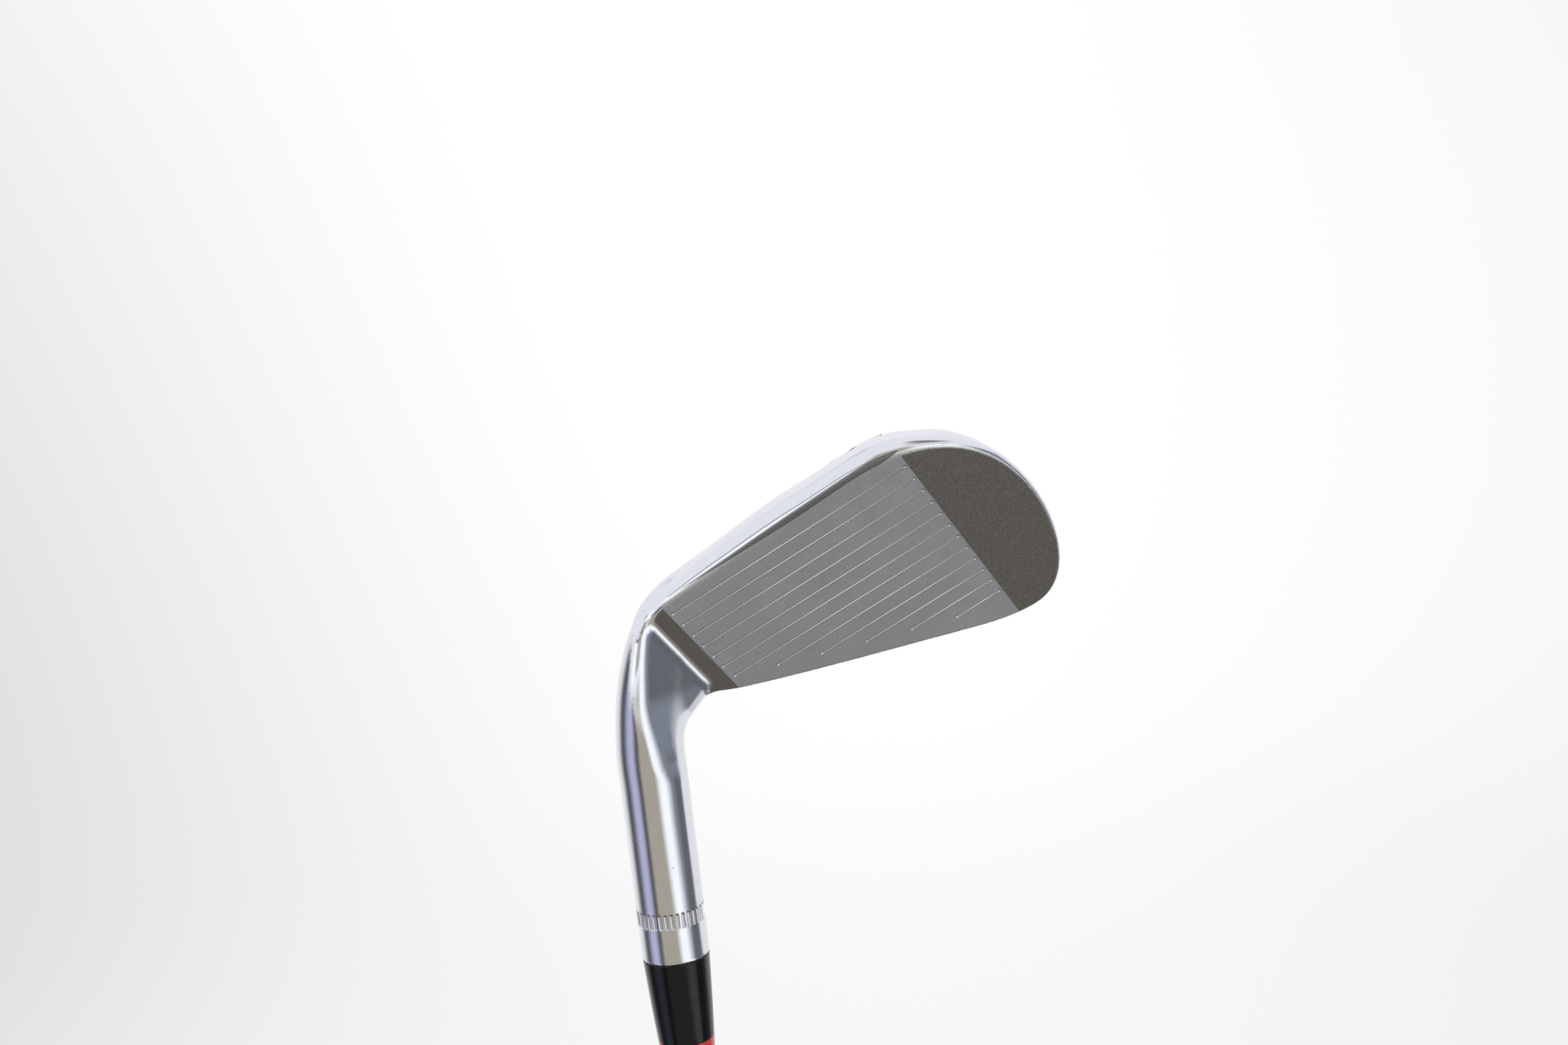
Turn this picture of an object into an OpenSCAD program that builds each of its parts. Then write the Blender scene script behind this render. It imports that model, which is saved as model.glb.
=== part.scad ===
// Iron golf club, right-handed, drawn with its head up.
// Origin: centre of the butt end of the grip. +Z runs up the shaft to the head, +X to the toe side,
// and the face looks to -Y. Millimetres.

/* [Club] */
// Length, from the butt of the grip to where the shaft axis meets the ground at address
club_length = 940; // [900:5:980]
// Lie: angle between shaft and ground at address
lie = 63; // [61:0.5:65]
// Loft: angle of the face to the vertical at address
loft = 34; // [31:1:37]

/* [Face] */
// Distance from the shaft axis to the heel end of the lowest groove
face_x = 8; // [7.5:0.1:8.5]
// Distance of that point behind the shaft axis, negative is in front
face_y = -0.8; // [-1.5:0.1:0]
// Height of that point over the ground at address
groove_height = 8.5; // [8:0.1:9]
// Number of scoring lines
groove_count = 12; // [8:1:12]
// Spacing of the scoring lines
groove_pitch = 3.6; // [3.5:0.05:3.65]
// Length of a full scoring line
groove_length = 53.2; // [50:0.1:54]
// Radius of a scoring line's section
groove_r = 0.4; // [0.3:0.05:0.45]
// How much further to the toe each short line starts
groove_step = 8.7; // [8:0.1:9]

/* [Blade] */
// Width of the sole between its leading edge and trailing edge roundings
sole_width = 14; // [13:0.5:15]
// Radius of the leading edge at the middle of the sole
lead_r = 3.5; // [3:0.1:3.8]
// How much smaller that radius is at heel and toe
lead_relief = 0.9; // [0.5:0.1:1.2]
// Radius of the edges at the toe and on the topline
rim_r = 1; // [0.8:0.1:1.3]
// Width of the band between the edges at the toe
toe_width = 6; // [5:0.5:7]
// Width of the band between the edges on the topline
top_width = 3.2; // [2.5:0.1:4]
// Thickness of the blade above the muscle
blade_thick = 5.6; // [5:0.1:6]

/* [Hosel] */
// Outside radius of the hosel
hosel_r = 6.75; // [6.5:0.05:7]
// Length of the hosel, from its open end to the ground line on the shaft axis
hosel_length = 74.2; // [72:0.1:76]
// Radius of the bore that takes the shaft
bore_r = 4.8; // [4.8:0.05:4.9]
// Depth of the bore
bore_depth = 34; // [32:0.5:36]
// Number of notches in the ring round the hosel
notch_count = 36; // [24:2:40]
// Distance of the notched ring from the open end
notch_start = 7.3; // [6:0.1:9]
// Length of the notches
notch_length = 3.3; // [2:0.1:4]

/* [Ferrule] */
// Length of the black collar next to the hosel
nose_length = 17.3; // [15:0.1:19]
// Length of the trim ring
ring_length = 2.5; // [2:0.1:3]
// Length of the black collar behind the ring
tail_length = 5.6; // [5:0.1:7]
// Outside radius where the ferrule meets the hosel
ferrule_r = 6.7; // [6.5:0.05:6.75]
// Outside radius at its thin end
ferrule_tail_r = 5.05; // [5:0.05:5.4]

/* [Shaft] */
// Outside radius at the tip
tip_r = 4.7; // [4.65:0.01:4.7]
// Outside radius at the butt
butt_r = 7.62; // [7.4:0.01:7.7]
// Wall of the tube
shaft_wall = 0.5; // [0.4:0.05:0.6]
// Number of steps
step_count = 13; // [10:1:13]
// Distance between steps
step_pitch = 44.45; // [40:0.05:45]
// Distance of the first step from the tip
first_step = 230; // [220:1:240]
// Length of the cone at each step
step_cone = 2.4; // [1:0.1:3]

/* [Grip] */
// Length of the grip
grip_length = 270; // [260:1:280]
// Radius at the butt
grip_butt_r = 13.2; // [13:0.1:13.6]
// Radius at the mouth
grip_mouth_r = 8.7; // [8.6:0.1:9.2]
// Thickness of the cap over the butt of the shaft
cap_thick = 4; // [3:0.1:5]
// How far the cap reaches along the shaft
cap_length = 5.5; // [5:0.1:6]
// Radius of the vent hole in the cap
vent_r = 2; // [1.5:0.1:2.2]
// Thickness of the tape under the grip
tape = 0.15; // [0.1:0.01:0.2]

/* [Hidden] */
$fn = 96;
eps = 0.01;

// Places along the shaft axis
face_z = club_length - (groove_height - face_x * cos(lie)) / sin(lie);
hosel_end = club_length - hosel_length;
bore_end = hosel_end + bore_depth;
neck_start = face_z - 25;
shaft_butt = cap_thick + tape;
weight_head = 0.8;
shaft_tip = bore_end - weight_head - 0.4;

// Flat of the face, as cubic curves in the face's own plane: [towards the toe, towards the topline]
face_curves = [
  [[-1, -2.4], [12, -2.4], [30, -3.5], [43.5, -3.7]],
  [[43.5, -3.7], [62.7, -3.8], [70.1, 8], [70.1, 23]],
  [[70.1, 23], [70.1, 33], [66.3, 47.4], [57.6, 47.4]],
  [[57.6, 47.4], [51.7, 47.4], [45.7, 44.6], [38.7, 41.7]],
  [[38.7, 41.7], [26, 36.6], [11, 30.4], [0, 25]],
  [[0, 25], [-3, 23.7], [-5.5, 20], [-5.5, 13]],
  [[-5.5, 13], [-5.5, 6], [-6, -2.3], [-1, -2.4]]
];
// Points on each curve
curve_steps = [9, 10, 10, 6, 6, 5, 4];

function smooth(lo, hi, x) = let (t = max(0, min(1, (x - lo) / (hi - lo)))) t * t * (3 - 2 * t);
function mix(a, b, t) = a + (b - a) * t;
function bezier(p, t) =
  p[0] * pow(1 - t, 3) + 3 * p[1] * t * pow(1 - t, 2) + 3 * p[2] * t * t * (1 - t) + p[3] * pow(t, 3);
function bezier_way(p, t) =
  (p[1] - p[0]) * pow(1 - t, 2) + 2 * (p[2] - p[1]) * t * (1 - t) + (p[3] - p[2]) * t * t;

// Outline points and the outward direction at each
outline = [
  for (c = [0 : len(face_curves) - 1])
    for (i = [0 : curve_steps[c] - 1]) bezier(face_curves[c], i / curve_steps[c])
];
outward = [
  for (c = [0 : len(face_curves) - 1])
    for (i = [0 : curve_steps[c] - 1])
      let (way = bezier_way(face_curves[c], i / curve_steps[c])) [way.y, -way.x] / norm(way)
];
// 1 on the sole, 0 at the toe and on the topline; 1 at the toe, 0 on the topline
function sole_part(k) = smooth(0.05, 0.95, -outward[k].y);
function toe_part(k) = 1 - smooth(0.2, 0.9, outward[k].y);

// Section of the band round the blade: [outwards in the face plane, depth behind the face].
// Leading edge arc, cambered sole, trailing edge arc. Angles are from the face's normal, and lean
// keeps the band level at address.
bounce = 10;
rear_rise = 8;
rim_lean = 4;
lead_steps = 5;
sole_steps = 4;
trail_steps = 3;
function lean(k) = atan(max(0, -outward[k].y) * tan(loft)) + rim_lean * (1 - sole_part(k));
function lean_front(k) = lean(k) - bounce * sole_part(k);
function lean_rear(k) = lean(k) + rear_rise;
function edge_r(k) =
  mix(rim_r, max(2.2, lead_r - lead_relief * pow((outline[k].x - 28) / 22, 2)), sole_part(k));
function lead_point(k, t) =
  let (turn = (90 + lean_front(k)) * t) edge_r(k) * [sin(turn), 1 - cos(turn)];
function sole_point(k, t) =
  let (
    a = lean_front(k),
    b = lean_rear(k),
    now = mix(a, b, t),
    r = band_width(k) / ((b - a) * PI / 180)
  )
  lead_point(k, 1) + r * [cos(now) - cos(a), sin(now) - sin(a)];
function trail_point(k, t) =
  let (
    a = lean_rear(k),
    b = mix(90, 118, sole_part(k)),
    r = mix(rim_r, 2, sole_part(k)),
    now = mix(a, b, t)
  )
  sole_point(k, 1) + r * [cos(now) - cos(a), sin(now) - sin(a)];
function band_width(k) =
  mix(mix(top_width, toe_width, toe_part(k)), sole_width, sole_part(k));
function section(k) = concat(
  [for (i = [0 : lead_steps]) lead_point(k, i / lead_steps)],
  [for (i = [1 : sole_steps]) sole_point(k, i / sole_steps)],
  [for (i = [1 : trail_steps]) trail_point(k, i / trail_steps)]
);
sections = [for (k = [0 : len(outline) - 1]) section(k)];
band_count = lead_steps + sole_steps + trail_steps + 1;

// Ring j of the blade as [towards the toe, towards the topline, depth]
function band_ring(j) = [
  for (k = [0 : len(outline) - 1])
    let (p = outline[k] + outward[k] * sections[k][j].x) [p.x, p.y, sections[k][j].y]
];
// The back closes on a spine, where the muscle meets the thin upper blade
spine_heel = [3, 15];
spine_toe = [52, 23];
spine_depth = blade_thick + 0.9;
function spine(p) =
  let (t = max(0, min(1, (p.x - spine_heel.x) / (spine_toe.x - spine_heel.x))), m = mix(spine_heel, spine_toe, t))
  [m.x, m.y, spine_depth];
back_places = [0.3, 0.6, 0.85];
function back_point(p, t) = let (q = mix(p, spine(p), t)) [q.x, q.y, mix(p.z, spine_depth, 1 - pow(1 - t, 2))];
function back_ring(t) = [for (p = band_ring(band_count - 1)) back_point(p, t)];
rings = concat(
  [for (j = [0 : band_count - 1]) band_ring(j)],
  [for (place = back_places) back_ring(place)]
);
ring_size = len(outline);
function ring_point(j, k) = j * ring_size + k % ring_size;

// Moves its children to the face: X to the toe, Y to the topline, Z into the blade
module in_face() {
  translate([face_x, face_y, face_z])
    rotate([0, lie - 90, 0])
      rotate([loft - 90, 0, 0])
        children();
}

// Moves its children to the head at address: X to the toe, Y to the back, Z down to the ground
module at_address() {
  translate([face_x, face_y, face_z])
    rotate([0, lie - 90, 0])
      children();
}

module blade() {
  back_centre = [(spine_heel.x + spine_toe.x) / 2, (spine_heel.y + spine_toe.y) / 2, spine_depth];
  last = len(rings) - 1;
  in_face()
    polyhedron(
      points = concat([for (ring = rings) each ring], [back_centre]),
      faces = concat(
        [[for (k = [0 : ring_size - 1]) k]],
        [
          for (j = [0 : last - 1])
            for (k = [0 : ring_size - 1])
              each [
                [ring_point(j, k), ring_point(j + 1, k), ring_point(j + 1, k + 1)],
                [ring_point(j, k), ring_point(j + 1, k + 1), ring_point(j, k + 1)]
              ]
        ],
        [for (k = [0 : ring_size - 1]) [ring_point(last, k), len(rings) * ring_size, ring_point(last, k + 1)]]
      )
    );
}

// Bend from the hosel into the heel and the sole: [place on the axis line or in the head, radius]
neck_balls = [
  [[0, 0, -26], 6.7],
  [[1.3, 0.6, -15], 6.6],
  [[4.2, 1.6, -5], 6.2],
  [[8.2, 3.2, 0.6], 5.7],
  [[16, 5.6, 6], 5]
];

module neck_ball(i) {
  translate(neck_balls[i][0] + [0, 0, face_z])
    sphere(r = neck_balls[i][1], $fn = 32);
}

module neck() {
  for (i = [0 : len(neck_balls) - 2])
    hull() {
      neck_ball(i);
      neck_ball(i + 1);
    }
  // the web that carries the topline's heel
  hull() {
    translate([0.4, 0.2, face_z - 20]) sphere(r = 6.6, $fn = 32);
    neck_ball(1);
    in_face() translate([-1.5, 18.5, 4.6]) sphere(r = 4.2, $fn = 32);
    in_face() translate([-2, 8, 6]) sphere(r = 5.2, $fn = 32);
  }
}

// Everything in front of the face, to the toe side of the heel line
module face_clearance() {
  heel_line = -4.5;
  in_face()
    translate([heel_line, -30, -40])
      cube([100, 90, 40]);
}

module notches() {
  notch_r = 0.45;
  for (i = [0 : notch_count - 1])
    rotate([0, 0, i * 360 / notch_count])
      translate([hosel_r + 0.22, 0, hosel_end + notch_start])
        cylinder(r = notch_r, h = notch_length, $fn = 24);
}

module hosel() {
  rim = 0.3;
  difference() {
    rotate_extrude()
      polygon([
        [0, hosel_end], [hosel_r - rim, hosel_end], [hosel_r, hosel_end + rim],
        [hosel_r, neck_start], [0, neck_start]
      ]);
    notches();
  }
}

module grooves() {
  full_count = 7;
  for (i = [0 : groove_count - 1]) {
    start = max(0, i - full_count + 1) * groove_step;
    in_face()
      translate([start, i * groove_pitch, 0])
        rotate([0, 90, 0])
          cylinder(r = groove_r, h = groove_length - start, $fn = 24);
  }
}

// Iron number sunk in the sole, with a dot on each side
module sole_number(height) {
  sink = 1.7;
  at_address() translate([46, 9, groove_height - sink]) {
    linear_extrude(height)
      polygon([[-2, 3], [2, 3], [2, 2.1], [0.1, -3], [-1, -3], [0.8, 2.1], [-2, 2.1]]);
    for (side = [-1, 1])
      translate([side * 5, 0, 0]) cylinder(r = 0.9, h = height, $fn = 32);
  }
}

module head() {
  color("lightsteelblue")
    difference() {
      union() {
        blade();
        neck();
        hosel();
      }
      face_clearance();
      translate([0, 0, hosel_end - eps]) cylinder(r = bore_r, h = bore_depth + eps);
      grooves();
      sole_number(5);
    }
}

module sole_number_fill() {
  paint = 0.5;
  color("crimson")
    sole_number(paint);
}

module hosel_epoxy() {
  color("khaki")
    translate([0, 0, hosel_end + 0.5])
      difference() {
        cylinder(r = bore_r, h = shaft_tip - hosel_end - 0.5);
        translate([0, 0, -eps]) cylinder(r = tip_r, h = bore_depth);
      }
}

// One length of the ferrule between two distances from the hosel
module ferrule_piece(from, to) {
  whole = nose_length + ring_length + tail_length;
  clearance = 0.02;
  r_from = mix(ferrule_r, ferrule_tail_r, from / whole);
  r_to = mix(ferrule_r, ferrule_tail_r, to / whole);
  rotate_extrude()
    polygon([
      [tip_r + clearance, hosel_end - from], [tip_r + clearance, hosel_end - to],
      [r_to, hosel_end - to], [r_from, hosel_end - from]
    ]);
}

module ferrule_nose() {
  color("black") ferrule_piece(0, nose_length);
}

module ferrule_ring() {
  color("red") ferrule_piece(nose_length, nose_length + ring_length);
}

module ferrule_tail() {
  color("black")
    ferrule_piece(nose_length + ring_length, nose_length + ring_length + tail_length);
}

// Outside of the stepped shaft from z0 to z1, moved out by grow: [radius, z]
step_size = (butt_r - tip_r) / step_count;
function step_z(i) = shaft_tip - first_step - (step_count - 1 - i) * step_pitch;
function shaft_r(z) = butt_r - step_size * len([for (i = [0 : step_count - 1]) if (step_z(i) < z) i]);
function shaft_side(z0, z1, grow) = concat(
  [[shaft_r(z0) + grow, z0]],
  [
    for (i = [0 : step_count - 1])
      if (step_z(i) > z0 + step_cone && step_z(i) < z1 - step_cone)
        each [
          [butt_r - step_size * i + grow, step_z(i) - step_cone / 2],
          [butt_r - step_size * (i + 1) + grow, step_z(i) + step_cone / 2]
        ]
  ],
  [[shaft_r(z1) + grow, z1]]
);
function backwards(list) = [for (i = [len(list) - 1 : -1 : 0]) list[i]];

module shaft() {
  color("silver")
    rotate_extrude()
      polygon(concat(
        shaft_side(shaft_butt, shaft_tip, 0),
        backwards(shaft_side(shaft_butt, shaft_tip, -shaft_wall))
      ));
}

module tip_weight() {
  weight_length = 14;
  color("goldenrod") {
    translate([0, 0, shaft_tip - weight_length])
      cylinder(r = tip_r - shaft_wall - 0.03, h = weight_length + eps);
    translate([0, 0, shaft_tip])
      cylinder(r = tip_r - 0.05, h = weight_head);
  }
}

module shaft_band() {
  band_start = 326;
  band_length = 22;
  label = 0.08;
  color("dimgray")
    translate([0, 0, band_start])
      difference() {
        cylinder(r = shaft_r(band_start) + label, h = band_length);
        translate([0, 0, -eps]) cylinder(r = shaft_r(band_start), h = band_length + 2 * eps);
      }
}

// Tape along the shaft, over its butt and a little way down inside it
module grip_tape() {
  tuck = 12;
  tape_end = grip_length - 6;
  inner_r = butt_r - shaft_wall;
  color("gainsboro")
    rotate_extrude()
      polygon(concat(
        [[inner_r - tape, shaft_butt + tuck], [inner_r - tape, cap_thick], [butt_r + tape, cap_thick]],
        shaft_side(shaft_butt, tape_end, tape),
        backwards(shaft_side(shaft_butt, tape_end, 0)),
        [[inner_r, shaft_butt], [inner_r, shaft_butt + tuck]]
      ));
}

module grip_mark_cuts() {
  mark_depth = 0.5;
  for (i = [0 : 3])
    translate([-2.5 + 0.5 * i, -grip_mouth_r - 2, grip_length - 18 - i * 6])
      cube([5 - i, 2 + mark_depth, 1.6]);
}

module grip_body() {
  tape_end = grip_length - 6;
  bead = 0.5;
  rotate_extrude()
    polygon(concat(
      [
        [butt_r + tape, cap_length], [grip_butt_r, cap_length], [grip_butt_r - 0.2, cap_length + 3],
        [grip_butt_r - 0.9, cap_length + 10], [11.6, 50], [10.9, 105], [10.1, 160], [9.3, 215],
        [grip_mouth_r, grip_length - 14], [grip_mouth_r, grip_length - 8],
        [grip_mouth_r + bead, grip_length - 5], [grip_mouth_r + bead, grip_length - 2],
        [grip_mouth_r - 0.2, grip_length], [shaft_r(grip_length - 1) + 0.02, grip_length],
        [shaft_r(grip_length - 1) + 0.02, tape_end]
      ],
      backwards(shaft_side(cap_length, tape_end, tape))
    ));
}

module grip_sleeve() {
  color([0.12, 0.12, 0.13])
    difference() {
      grip_body();
      grip_mark_cuts();
    }
}

module grip_marks() {
  color("white")
    intersection() {
      grip_body();
      grip_mark_cuts();
    }
}

module grip_cap() {
  flat_r = 9.5;
  color([0.09, 0.09, 0.1])
    rotate_extrude()
      polygon([
        [vent_r, 0], [flat_r, 0], [flat_r + 2, 0.4], [grip_butt_r - 0.6, 1.5], [grip_butt_r, 3.2],
        [grip_butt_r, cap_length], [butt_r + tape, cap_length], [butt_r + tape, cap_thick], [vent_r, cap_thick]
      ]);
}

head();
sole_number_fill();
hosel_epoxy();
ferrule_nose();
ferrule_ring();
ferrule_tail();
shaft();
tip_weight();
shaft_band();
grip_tape();
grip_sleeve();
grip_cap();
grip_marks();
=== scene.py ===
import math
import bmesh
import bpy
import numpy as np
import openvdb
from mathutils import Matrix, Vector


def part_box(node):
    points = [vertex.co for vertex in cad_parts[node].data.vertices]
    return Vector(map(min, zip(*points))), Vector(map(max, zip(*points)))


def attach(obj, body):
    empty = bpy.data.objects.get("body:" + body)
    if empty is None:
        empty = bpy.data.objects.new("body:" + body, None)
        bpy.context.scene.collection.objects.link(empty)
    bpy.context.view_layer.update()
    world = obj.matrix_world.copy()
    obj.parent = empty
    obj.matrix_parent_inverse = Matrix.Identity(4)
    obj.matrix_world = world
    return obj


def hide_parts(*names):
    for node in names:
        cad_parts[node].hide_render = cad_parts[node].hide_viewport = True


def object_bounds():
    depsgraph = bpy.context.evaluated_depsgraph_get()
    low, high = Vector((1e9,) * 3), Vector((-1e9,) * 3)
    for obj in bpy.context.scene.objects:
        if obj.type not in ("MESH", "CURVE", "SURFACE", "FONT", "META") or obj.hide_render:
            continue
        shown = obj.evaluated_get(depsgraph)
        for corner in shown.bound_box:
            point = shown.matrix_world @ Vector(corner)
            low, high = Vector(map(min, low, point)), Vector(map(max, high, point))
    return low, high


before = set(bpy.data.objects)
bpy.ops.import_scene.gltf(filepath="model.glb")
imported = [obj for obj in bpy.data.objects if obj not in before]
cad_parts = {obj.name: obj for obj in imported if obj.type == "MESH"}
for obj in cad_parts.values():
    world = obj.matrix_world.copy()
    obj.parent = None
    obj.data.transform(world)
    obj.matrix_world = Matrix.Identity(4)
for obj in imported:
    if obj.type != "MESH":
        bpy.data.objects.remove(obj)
CAD_BOX = [list(v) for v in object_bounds()]
MM = 0.001

# ---------------------------------------------------------------- frame of the head (mm)
LIE, LOFT = math.radians(63), math.radians(34)
TOE = np.array([math.sin(LIE), 0, math.cos(LIE)])
UP = np.array([math.cos(LIE), 0, -math.sin(LIE)])
FRONT = np.array([0, -1.0, 0])
NORMAL = math.cos(LOFT) * FRONT + math.sin(LOFT) * UP
TOPWARD = math.cos(LOFT) * UP - math.sin(LOFT) * FRONT
HEAD_LO, HEAD_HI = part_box("head")
HOSEL_END = HEAD_LO[2] / MM
FACE_Z = HOSEL_END + 68.74  # height on the shaft axis that the face is measured from
P0 = np.array([8, -0.8, FACE_Z])
HOSEL_R = 6.75
GROOVE_PITCH, GROOVE_LENGTH = 3.6, 53.24
# measured in the photo: the upper lines start further towards the toe
GROOVE_STARTS = (0, 0, 0, 0, 0, 0, 0.39, 8.66, 17.07, 25.69, 34.49, 43.3)
NOTCHES = 36
SHAFT_BUTT_R, SHAFT_TIP_R, SHAFT_STEPS = 7.62, 4.7, 13
GRIP_BUTT_R = 13.2


def in_face(u, w, d):
    """A point u towards the toe, w towards the topline and d behind the face."""
    return P0 + u * TOE + w * TOPWARD - d * NORMAL


def on_axis(x, y, z):
    """A point at x, y and z from the face's height on the shaft axis."""
    return np.array([x, y, FACE_Z + z], float)


# ---------------------------------------------------------------- shape functions
def smooth(lo, hi, x):
    """0 below lo, 1 above hi, and a soft step between."""
    t = np.clip((x - lo) / (hi - lo), 0, 1)
    return t * t * (3 - 2 * t)


def mix(a, b, t):
    return a + (b - a) * t


def smin(a, b, k):
    """Smooth minimum, blended over k."""
    h = np.clip(0.5 + 0.5 * (b - a) / k, 0, 1)
    return b + (a - b) * h - k * h * (1 - h)


def smax(a, b, k):
    """Smooth maximum, blended over k."""
    return -smin(-a, -b, k)


FACE = np.array([
    [[2, -2.4], [14, -2.4], [30, -3.5], [43.5, -3.7]],
    [[43.5, -3.7], [62.7, -3.98], [70.1, 8], [70.1, 23]],
    [[70.1, 23], [70.1, 33], [66.3, 47.4], [57.6, 47.4]],
    [[57.6, 47.4], [51.7, 47.4], [45.7, 44.6], [38.7, 41.7]],
    [[38.7, 41.7], [26, 36.44], [11, 30.4], [0, 25]],
    [[0, 25], [-6, 22.06], [-10, 18], [-10, 10]],
    [[-10, 10], [-10, 3], [-5, -2.4], [2, -2.4]],
])


def face_curve(tau):
    k = np.floor(tau).astype(int) % 7
    t = (tau - np.floor(tau))[:, None]
    a, b, c, d = (FACE[k, i] for i in range(4))
    s = 1 - t
    p = s**3 * a + 3 * s * s * t * b + 3 * s * t * t * c + t**3 * d
    p1 = 3 * (s * s * (b - a) + 2 * s * t * (c - b) + t * t * (d - c))
    p2 = 6 * (s * (c - 2 * b + a) + t * (d - 2 * c + b))
    return p, p1, p2


TAUS = np.arange(0, 7, 1 / 64)
CURVE_PTS = face_curve(TAUS)[0]
GRID_LO, GRID_N = np.array([-40.0, -45.0]), (150, 130)


def nearest_table():
    a, b = np.meshgrid(np.arange(GRID_N[0]), np.arange(GRID_N[1]), indexing="ij")
    q = GRID_LO + np.stack([a, b], -1).reshape(-1, 2)
    d = ((q[:, None] - CURVE_PTS[None]) ** 2).sum(-1)
    return TAUS[d.argmin(1)].reshape(GRID_N)


NEAREST = nearest_table()


def outline(u, w):
    """Distance outside the flat's outline, and the outline's outward normal there."""
    q = np.stack([u, w], -1)
    i = np.clip(np.rint(q - GRID_LO).astype(int), 0, np.array(GRID_N) - 1)
    tau = NEAREST[i[:, 0], i[:, 1]]
    for _ in range(5):
        p, p1, p2 = face_curve(tau)
        f = ((p - q) * p1).sum(1)
        g = (p1 * p1).sum(1) + np.maximum(((p - q) * p2).sum(1), -0.6 * (p1 * p1).sum(1))
        tau = (tau - np.clip(f / g, -0.08, 0.08)) % 7
    p, p1, p2 = face_curve(tau)
    n = np.stack([p1[:, 1], -p1[:, 0]], -1) / np.linalg.norm(p1, axis=1)[:, None]
    return ((q - p) * n).sum(1), n, p


def blade(u, w, d):
    s, n, p = outline(u, w)
    q = smooth(0.05, 0.95, -n[:, 1])
    toe = 1 - smooth(0.2, 0.9, n[:, 1])
    heel = smooth(0.55, 0.95, -n[:, 0])
    lean = np.arctan(np.maximum(0, -n[:, 1]) * math.tan(LOFT)) + math.radians(4) * (1 - q)
    a, b = lean - math.radians(10) * q, lean + math.radians(8)
    r = mix(0.9, 1.5 + 1.2 * smooth(-6, 15, p[:, 0]) + 0.2 * smooth(14, 24, p[:, 0]) - 0.25 * smooth(27, 38, p[:, 0])
            - 1.1 * smooth(49, 62, p[:, 0]), q)
    width = mix(mix(mix(3.2, 6.0, toe), 16.0, heel), 14.0, q)
    big = width / (b - a)
    # three arcs from the flat to the sole: a tight one, a fuller one, then the camber
    r1, r2, bend = 0.71 * r, 1.425 * r, math.radians(50)
    s2, d2 = (r1 - r2) * math.sin(bend), r1 - (r1 - r2) * math.cos(bend)
    s3, d3 = s2 + (r2 - big) * np.cos(a), d2 + (r2 - big) * np.sin(a)
    one = np.hypot(s, d - r1) - r1
    two = np.hypot(s - s2, d - d2) - r2
    band = np.hypot(s - s3, d - d3) - big
    on_one = (np.arctan2(s, r1 - d) <= bend) & (d < r1)
    on_two = np.arctan2(s - s2, d2 - d) <= math.pi / 2 + a
    edge = np.where(on_one, one, np.where(on_two, two, band))
    front = np.where(s < 0, np.maximum(-d, band), edge)
    t = np.maximum(0, 18.5 + 0.06 * u - w) / 17
    inner = 6.3 + 10.7 * t * t + 1.2 * smooth(54, 70, u) - 1.1 * (1 - smooth(0, 8, 25 + 0.43 * u - w))
    inner = inner - 0.6 * smooth(34, 46, w)
    back = smin(inner, 17.15, 3)
    return smax(front, d - back, 1.2)


def tube(q, pts, radii):
    """Distance to a smooth tube through the given points."""
    n = len(pts)
    t = np.linspace(0, n - 1, 40 * (n - 1) + 1)
    k = np.minimum(t.astype(int), n - 2)
    f = (t - k)[:, None]
    data = np.c_[pts, radii]
    ext = np.vstack([2 * data[0] - data[1], data, 2 * data[-1] - data[-2]])
    a, b, c, e = ext[k], ext[k + 1], ext[k + 2], ext[k + 3]
    line = 0.5 * (2 * b + (c - a) * f + (2 * a - 5 * b + 4 * c - e) * f * f
                  + (3 * b - a - 3 * c + e) * f**3)
    slope = np.gradient(line, axis=0)
    length = np.linalg.norm(slope[:, :3], axis=1)
    out = np.empty(len(q))
    for i in range(0, len(q), 40000):
        x = q[i:i + 40000]
        j = ((x[:, None, :] - line[None, :, :3]) ** 2).sum(-1).argmin(1)
        along = ((x - line[j, :3]) * slope[j, :3]).sum(1) / length[j] ** 2
        along = np.where((j == 0) & (along < 0) | (j == len(line) - 1) & (along > 0), 0, along)
        near = line[j] + slope[j] * along[:, None]
        out[i:i + 40000] = np.linalg.norm(x - near[:, :3], axis=1) - near[:, 3]
    return out


def triangle(q, a, b, c, r):
    """Distance to a triangle made r thick."""
    ab, ac, bc = b - a, c - a, c - b
    nrm = np.cross(ab, ac)
    nrm /= np.linalg.norm(nrm)

    def seg(p, o, v):
        t = np.clip(((p - o) @ v) / (v @ v), 0, 1)
        return np.linalg.norm(p - o - t[:, None] * v, axis=1)

    inside = np.ones(len(q), bool)
    for o, v in ((a, ab), (b, bc), (c, a - c)):
        inside &= (q - o) @ np.cross(nrm, v) >= 0
    edge = np.minimum(np.minimum(seg(q, a, ab), seg(q, a, ac)), seg(q, b, bc))
    return np.where(inside, np.abs((q - a) @ nrm), edge) - r


NECK = [on_axis(0, 0, -44), on_axis(0, 0, -35), on_axis(0.05, 0, -26), on_axis(1.3, 0.6, -15),
        on_axis(4.2, 1.6, -5), on_axis(8.2, 3.2, 0.6), on_axis(16, 5.6, 6)]
NECK_R = [6.75, 6.75, 6.74, 6.5, 5.9, 4.5, 3.4]
WEB = (on_axis(0.8, 0.6, -22), in_face(-3.4, 18.2, 4.8), in_face(-3.6, 6, 5), 4.8)
WALL_U, WALL_TILT = -4.6, math.radians(50)


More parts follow.
